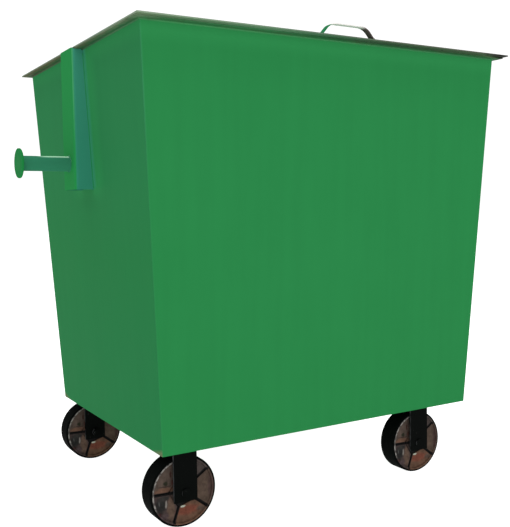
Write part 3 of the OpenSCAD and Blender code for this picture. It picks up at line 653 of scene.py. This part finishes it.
def rusted_iron(corner):
    material, tree, shader = blank_material(f"rusted_cast_iron_{corner}")
    place, flat, radius, angle = about_wheel(tree, corner)
    turns = add(tree, "Math", MULTIPLY_ADD, i0=angle, i1=1 / TURN, i2=-FIRST_GROOVE / TURN)
    panel = add(tree, "Math", {"operation": "WRAP"}, i0=turns, i1=PANELS, i2=0.0)
    share = add(tree, "Math", {"operation": "DIVIDE"}, i0=panel, i1=PANELS)
    ramp = add(tree, "ValToRGB", Fac=share)
    ramp.color_ramp.interpolation = "CONSTANT"
    steps = ramp.color_ramp.elements
    for i, tint in enumerate(PANEL_TINTS):
        step = steps[i] if i < len(steps) else steps.new(i / PANELS)
        step.position, step.color = i / PANELS, colour(tint)
    look = ramp

    pits = add(tree, "TexNoise", Vector=place, Scale=1 / 0.012, Detail=5.0, Roughness=0.65)
    moved = add(tree, "VectorMath", MULTIPLY_ADD, i0=pits.outputs["Color"], i1=(FRAY, 0, FRAY),
                i2=flat)
    frayed = add(tree, "VectorMath", SUBTRACT, i0=moved, i1=(FRAY / 2, 0, FRAY / 2))
    for across, up, half_w, half_h, tint in MARKS:
        shrunk = add(tree, "Mapping", Vector=frayed, Location=(-across / half_w, 0, -up / half_h),
                     Scale=(1 / (half_w * MM), 1, 1 / (half_h * MM)))
        reach = add(tree, "VectorMath", LENGTH, i0=shrunk)
        mark = add(tree, "MapRange", SMOOTH, Value=reach, i1=1.4, i2=0.6)
        look = add(tree, "Mix", RGBA, i0=mark, i6=look, i7=colour(tint))
    shade = add(tree, "MapRange", Value=pits, i1=0.3, i2=0.7, i3=0.66, i4=1.36)
    look = add(tree, "Mix", TINT, i0=1.0, i6=look, i7=shade)

    # Painted highlight on the lip: bright flecks on dark, over an arc about 156 degrees
    from_middle = add(tree, "Math", SUBTRACT, i0=angle, i1=ARC_MIDDLE)
    arc = add(tree, "Math", COSINE, i0=from_middle)
    in_arc = add(tree, "MapRange", Value=arc, i1=0.60, i2=0.72)
    flecks = add(tree, "TexNoise", Vector=place, Scale=1 / 0.009, Detail=3.0)
    fleck = add(tree, "MapRange", Value=flecks, i1=0.40, i2=0.54)
    lip_highlight = add(tree, "Mix", RGBA, i0=fleck, i6=colour("#464240"), i7=colour("#8a8681"))
    at_rim = add(tree, "MapRange", Value=radius, i1=RIM_R - 0.0004, i2=RIM_R + 0.0002)
    on_arc = add(tree, "Math", MULTIPLY, i0=at_rim, i1=in_arc)
    look = add(tree, "Mix", RGBA, i0=on_arc, i6=look, i7=lip_highlight)

    # Painted shade on the field and in the grooves: the field is found by the distance along the
    # normal of its nearest side, and a groove by the distance off its middle. On the left, the
    # field is not darkened
    within = add(tree, "Math", FRACT, i0=panel)
    to_side = add(tree, "Math", MULTIPLY_ADD, i0=within, i1=TURN, i2=-TURN / 2)
    toward = add(tree, "Math", COSINE, i0=to_side)
    out = add(tree, "Math", MULTIPLY, i0=radius, i1=toward)
    in_field = add(tree, "MapRange", Value=out, i1=FIELD_R, i2=FIELD_R - 0.0018)
    x = add(tree, "SeparateXYZ", Vector=flat).outputs["X"]
    not_at_left = add(tree, "MapRange", Value=x, i1=-0.0215, i2=-0.0175)
    field = add(tree, "Math", MULTIPLY, i0=in_field, i1=not_at_left)
    half_on = add(tree, "Math", i0=panel, i1=0.5)
    shifted = add(tree, "Math", FRACT, i0=half_on)
    to_groove = add(tree, "Math", MULTIPLY_ADD, i0=shifted, i1=TURN, i2=-TURN / 2)
    aside = add(tree, "Math", {"operation": "SINE"}, i0=to_groove)
    off = add(tree, "Math", MULTIPLY, i0=radius, i1=aside)
    moved_line = add(tree, "Math", SUBTRACT, i0=off, i1=0.0010)
    from_line = add(tree, "Math", ABSOLUTE, i0=moved_line)
    line = add(tree, "MapRange", Value=from_line, i1=0.0045, i2=0.0033)
    end = add(tree, "MapRange", Value=in_arc, i3=RIM_R + 0.0036, i4=RIM_R - 0.0015)
    short_of = add(tree, "Math", SUBTRACT, i0=end, i1=radius)
    before = add(tree, "MapRange", Value=short_of, i1=0.0, i2=0.0010)
    groove = add(tree, "Math", MULTIPLY, i0=line, i1=before)
    groove_and_field_shade = add(tree, "Math", MAXIMUM, i0=field, i1=groove)
    look = add(tree, "Mix", RGBA, i0=groove_and_field_shade, i6=look, i7=colour("#100f0f"))
    tree.links.new(look.outputs[2], shader.inputs["Base Color"])

    bump = add(tree, "Bump", Strength=0.35, Distance=0.0006, Height=pits)
    tree.links.new(bump.outputs[0], shader.inputs["Normal"])
    shader.inputs["Roughness"].default_value = 0.82
    shader.inputs["Specular IOR Level"].default_value = 0.12
    return material


for corner in CORNERS:
    dress(rusted_iron(corner), f"wheel_hub_{corner}")

# %% [markdown]
# ## Moulded rubber
#
# The tyre is solid black rubber, moulded in two halves. The seam between them is a low ridge
# round the middle of the tread, and a grey bloom of dust lies in fine patches on the tread.
# Rubber scatters nearly all light, so the roughness is 0.8 and the gloss is very low.

# %% Rubber finish
def moulded_rubber(corner):
    material, tree, shader = blank_material(f"moulded_black_rubber_{corner}")
    place, _, radius, _ = about_wheel(tree, corner)
    dust = add(tree, "TexNoise", Vector=place, Scale=1 / 0.009, Detail=6.0, Roughness=0.7)
    dusty = add(tree, "MapRange", Value=dust, i1=0.5, i2=0.8, i3=0.0, i4=0.6)
    on_tread = add(tree, "MapRange", Value=radius, i1=TYRE_R - 0.0015, i2=TYRE_R - 0.0005, i3=0.15)
    blend = add(tree, "Math", MULTIPLY, i0=dusty, i1=on_tread)
    tone = add(tree, "Mix", RGBA, i0=blend, i6=colour("#060908"), i7=colour("#161816"))
    tree.links.new(tone.outputs[2], shader.inputs["Base Color"])
    y = add(tree, "SeparateXYZ", Vector=place).outputs["Y"]
    off_middle = add(tree, "Math", ABSOLUTE, i0=y)
    ridge = add(tree, "MapRange", Value=off_middle, i1=0.0014, i2=0.0006)
    relief = add(tree, "Math", MULTIPLY_ADD, i0=ridge, i1=1.0, i2=dust)
    bump = add(tree, "Bump", Strength=0.5, Distance=0.0005, Height=relief)
    tree.links.new(bump.outputs[0], shader.inputs["Normal"])
    shader.inputs["Roughness"].default_value = 0.80
    shader.inputs["Specular IOR Level"].default_value = 0.02
    return material


for corner in CORNERS:
    dress(moulded_rubber(corner), f"wheel_tyre_{corner}")

# %% [markdown]
# ## Weld seams
#
# The solid parts only touch. On the real container, a bead of weld joins them, laid as a row
# of small overlapping ripples. Ripples could be drawn with a bump, but a bead also fills the
# corner between two sheets, which a bump can't do. So one ripple is modelled: a sphere as
# wide as the bead, squeezed by a quarter along it. An Array modifier lays it in a row, each
# ripple over nearly half of the one before. The half inside the steel stays hidden.

# %% A straight bead
# Widths of the beads on sheets, on pins and forks, and on the handle
BEAD, HEAVY_BEAD, BROAD_BEAD = 0.0045, 0.005, 0.006
# Step from ripple to ripple, in widths of the bead, and the share that a ripple is squeezed
STEP, SQUEEZE = 0.55, 0.25


def straight_bead(name, start, end, width=BEAD):
    """Overlapping ripples from start to end."""
    clear_selection()
    run = Vector(end) - Vector(start)
    pitch = run.normalized() * width * STEP
    bpy.ops.mesh.primitive_uv_sphere_add(segments=10, ring_count=6, radius=width / 2,
                                         location=start)
    bead = bpy.context.object
    bead.name = bead.data.name = name
    bpy.ops.object.mode_set(mode="EDIT")
    bpy.ops.mesh.select_all(action="SELECT")
    bpy.ops.transform.resize(value=[1 - SQUEEZE * abs(v) for v in run.normalized()])
    bpy.ops.object.mode_set(mode="OBJECT")
    row = bead.modifiers.new("row", "ARRAY")
    row.fit_type, row.fit_length = "FIT_LENGTH", run.length
    row.use_relative_offset, row.use_constant_offset = False, True
    row.constant_offset_displace = pitch
    bpy.ops.object.modifier_apply(modifier="row")
    bpy.ops.object.transform_apply(location=True, rotation=True, scale=True)
    bpy.ops.object.shade_smooth()
    return bead


def placed(piece, material, body="container"):
    """Gives a finished piece its finish and body."""
    piece.data.materials.clear()
    piece.data.materials.append(material)
    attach(piece, body)
    return piece


def copy_of(piece, name, shift=(0, 0, 0), turn=0.0):
    """A copy with its own mesh, turned about the Z axis of the body and then shifted."""
    clear_selection()
    copy = piece.copy()
    copy.data = piece.data.copy()
    copy.name = copy.data.name = name
    bpy.context.scene.collection.objects.link(copy)
    copy.select_set(True)
    bpy.context.view_layer.objects.active = copy
    if turn:
        bpy.ops.transform.rotate(value=turn, orient_axis="Z", center_override=(0, 0, 0))
    bpy.ops.transform.translate(value=shift)
    bpy.ops.object.transform_apply(location=True, rotation=True, scale=True)
    return copy


# %% Beads beside the posts
# The beads take the post's finish, so its pale fold tint lightens them: painted light against the
# contact shade beside the posts
(_, _, post_foot), (_, post_side, _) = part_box("trunnion_post_left")
foot_z, top_z = post_foot + 0.004, RIM_Z - 0.012
for end, other, y in (("front", "rear", -post_side), ("rear", "front", post_side)):
    bead = straight_bead(f"weld_post_left_{end}", (-wall_x(foot_z), y, foot_z),
                         (-wall_x(top_z), y, top_z))
    placed(bead, post_enamel)
    placed(copy_of(bead, f"weld_post_right_{other}", turn=math.pi), post_enamel)
print("4 beads of", len(bead.data.polygons), "faces")

# %% [markdown]
# A bead round a pin follows a circle. Here the Spin operator copies one ripple round the
# pin's axis, which is quicker than bending a row and closes exactly.

# %% Beads round the pins
def ring_bead(name, centre, radius, width):
    """Overlapping ripples in a ring about a line along X."""
    clear_selection()
    count = round(2 * math.pi * radius / (width * STEP))
    cx, cy, cz = centre
    bpy.ops.mesh.primitive_uv_sphere_add(segments=10, ring_count=6, radius=width / 2,
                                         location=(cx, cy, cz + radius))
    bead = bpy.context.object
    bead.name = bead.data.name = name
    bpy.ops.object.transform_apply(location=True)
    bpy.ops.object.mode_set(mode="EDIT")
    bpy.ops.mesh.select_all(action="SELECT")
    bpy.ops.transform.resize(value=(1, 1 - SQUEEZE, 1), center_override=(cx, cy, cz + radius))
    bpy.ops.mesh.spin(steps=count - 1, dupli=True, angle=2 * math.pi * (count - 1) / count,
                      center=centre, axis=(1, 0, 0))
    bpy.ops.object.mode_set(mode="OBJECT")
    bpy.ops.object.shade_smooth()
    return bead


pin_low, pin_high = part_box("trunnion_pin_left")
pin_z = (pin_low[2] + pin_high[2]) / 2
pin_r = (pin_high[2] - pin_low[2]) / 2
post_face, collar_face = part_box("trunnion_post_left")[0][0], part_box("trunnion_flange_left")[1][0]
for piece, x in (("post", post_face), ("collar", collar_face)):
    ring = ring_bead(f"weld_pin_{piece}_left", (x, 0, pin_z), pin_r, HEAVY_BEAD)
    placed(ring, pin_enamel)
    placed(copy_of(ring, f"weld_pin_{piece}_right", turn=math.pi), pin_enamel)
    print("ring bead at x", round(x, 4), "with", len(ring.data.polygons), "faces")

# %% Beads at the handle's feet
(left_x, front_y, lid_top), (right_x, rear_y, _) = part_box("lid_handle")
for side, x in (("left", left_x), ("right", right_x)):
    bead = straight_bead(f"weld_handle_{side}", (x, front_y + 0.002, lid_top),
                         (x, rear_y - 0.002, lid_top), BROAD_BEAD)
    placed(bead, handle_enamel, body="lid")
print("handle feet stand", round(1000 * (right_x - left_x), 1), "mm apart")

# %% Beads on the hinge brackets
HINGES_APART = 0.640
(outer_x, _, ear_foot), (inner_x, _, _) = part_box("hinge_bracket_left")
foot_z, top_z = ear_foot + 0.003, RIM_Z - 0.009
for side, other, x in (("outer", "inner", outer_x), ("inner", "outer", inner_x)):
    bead = straight_bead(f"weld_hinge_left_{side}", (x, wall_y(foot_z), foot_z),
                         (x, wall_y(top_z), top_z))
    placed(bead, fitting_enamel)
    placed(copy_of(bead, f"weld_hinge_right_{other}", shift=(HINGES_APART, 0, 0)), fitting_enamel)
print("4 beads on the hinge brackets, from", round(foot_z, 4), "to", round(top_z, 4), "m")

# %% [markdown]
# Inside, one bead runs round the floor and one up each corner. Outside, the corners are
# ground flush, as the clean upright edges show, so nothing is added there.

# %% Beads inside the body
# Thickness of the walls
SHEET = 0.0025
(_, _, under_floor), (_, _, fz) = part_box("floor_panel")
fx, fy = wall_x(under_floor) - SHEET, wall_y(under_floor) - SHEET
front_seam = placed(straight_bead("weld_floor_front", (-fx, -fy, fz), (fx, -fy, fz)), thin_enamel)
left_seam = placed(straight_bead("weld_floor_left", (-fx, -fy, fz), (-fx, fy, fz)), thin_enamel)
placed(copy_of(front_seam, "weld_floor_rear", turn=math.pi), thin_enamel)
placed(copy_of(left_seam, "weld_floor_right", turn=math.pi), thin_enamel)
top_z = RIM_Z - 0.010
for x, here, there in ((-1, "front_left", "rear_right"), (1, "front_right", "rear_left")):
    seam = straight_bead(f"weld_corner_{here}", (x * fx, -fy, fz),
                         (x * (wall_x(top_z) - SHEET), SHEET - wall_y(top_z), top_z))
    placed(seam, thin_enamel)
    placed(copy_of(seam, f"weld_corner_{there}", turn=math.pi), thin_enamel)
print("floor seam", len(front_seam.data.polygons), "faces")

# %% Beads on the castor forks
# Thickness of the top plate, half the width over the legs, and half the length of a bead
PLATE, OVER_LEGS, REACH = 0.005, 0.039, 0.028
first = CORNERS[0]
cx, cy, _ = wheel_middle(first)
under_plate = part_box(f"castor_bracket_{first}")[1][2] - PLATE
for side, y in (("outer", -OVER_LEGS), ("inner", OVER_LEGS)):
    bead = straight_bead(f"weld_fork_{first}_{side}", (cx - REACH, cy + y, under_plate),
                         (cx + REACH, cy + y, under_plate), HEAVY_BEAD)
    placed(bead, black_enamel)
    for corner in CORNERS[1:]:
        to = wheel_middle(corner)
        placed(copy_of(bead, f"weld_fork_{corner}_{side}", shift=(to[0] - cx, to[1] - cy, 0)),
               black_enamel)
print("8 beads under the castor plates, at", round(under_plate, 4), "m")

# %% [markdown]
# ## Studio
#
# The container stands on a pale, softly lit table, the kind that photographers use to keep a
# white ground without hard shadows: the floor is matt white and glows. To the camera it
# glows more strongly, so that it meets the background without a line. A large lamp in front
# makes the front wall brighter than the left one, and one overhead lights the lid. The world
# is white, so it fills every shadow. The camera sees it a little brighter than white, so that
# no grain is left in the background.

# %% Floor
WHITE = (1, 1, 1, 1)
GLOW, GLOW_TO_CAMERA = 0.74, 1.0
clear_selection()
bpy.ops.mesh.primitive_plane_add(size=60, location=(0, 0, 0))
floor = bpy.context.object
floor.name = "studio_floor"
floor_paper, tree, floor_shader = blank_material("softly_lit_table")
floor_shader.inputs["Base Color"].default_value = (0.6, 0.6, 0.6, 1)
floor_shader.inputs["Roughness"].default_value = 0.9
floor_shader.inputs["Specular IOR Level"].default_value = 0.0
floor_shader.inputs["Emission Color"].default_value = WHITE
glow = add(tree, "MapRange", Value=add(tree, "LightPath").outputs["Is Camera Ray"],
           i3=GLOW, i4=GLOW_TO_CAMERA)
tree.links.new(glow.outputs[0], floor_shader.inputs["Emission Strength"])
floor.data.materials.append(floor_paper)


# %% Lamps
def soft_lamp(name, place, aim, size, watts):
    """A square area lamp at place, facing aim."""
    data = bpy.data.lights.new(name, "AREA")
    data.shape, data.size, data.energy = "SQUARE", size, watts
    lamp = bpy.data.objects.new(name, data)
    bpy.context.scene.collection.objects.link(lamp)
    lamp.location = place
    lamp.rotation_euler = (Vector(aim) - Vector(place)).to_track_quat("-Z", "Y").to_euler()


soft_lamp("front_lamp", (-0.5, -4.5, 2.0), (0, 0, 0.6), size=3.0, watts=45)
soft_lamp("top_lamp", (0, 0, 4.5), (0, 0, 0), size=4.0, watts=120)

world = bpy.data.worlds.new("studio_world")
bpy.context.scene.world = world
world.use_nodes = True
tree = world.node_tree
tree.nodes.clear()
seen = add(tree, "Background", Color=WHITE, Strength=1.1)
lighting = add(tree, "Background", Color=WHITE, Strength=0.5)
to_camera = add(tree, "LightPath").outputs["Is Camera Ray"]
choice = add(tree, "MixShader", i0=to_camera, i1=lighting, i2=seen)
add(tree, "OutputWorld", i0=choice)
print("two lamps, a glowing floor and a white world")
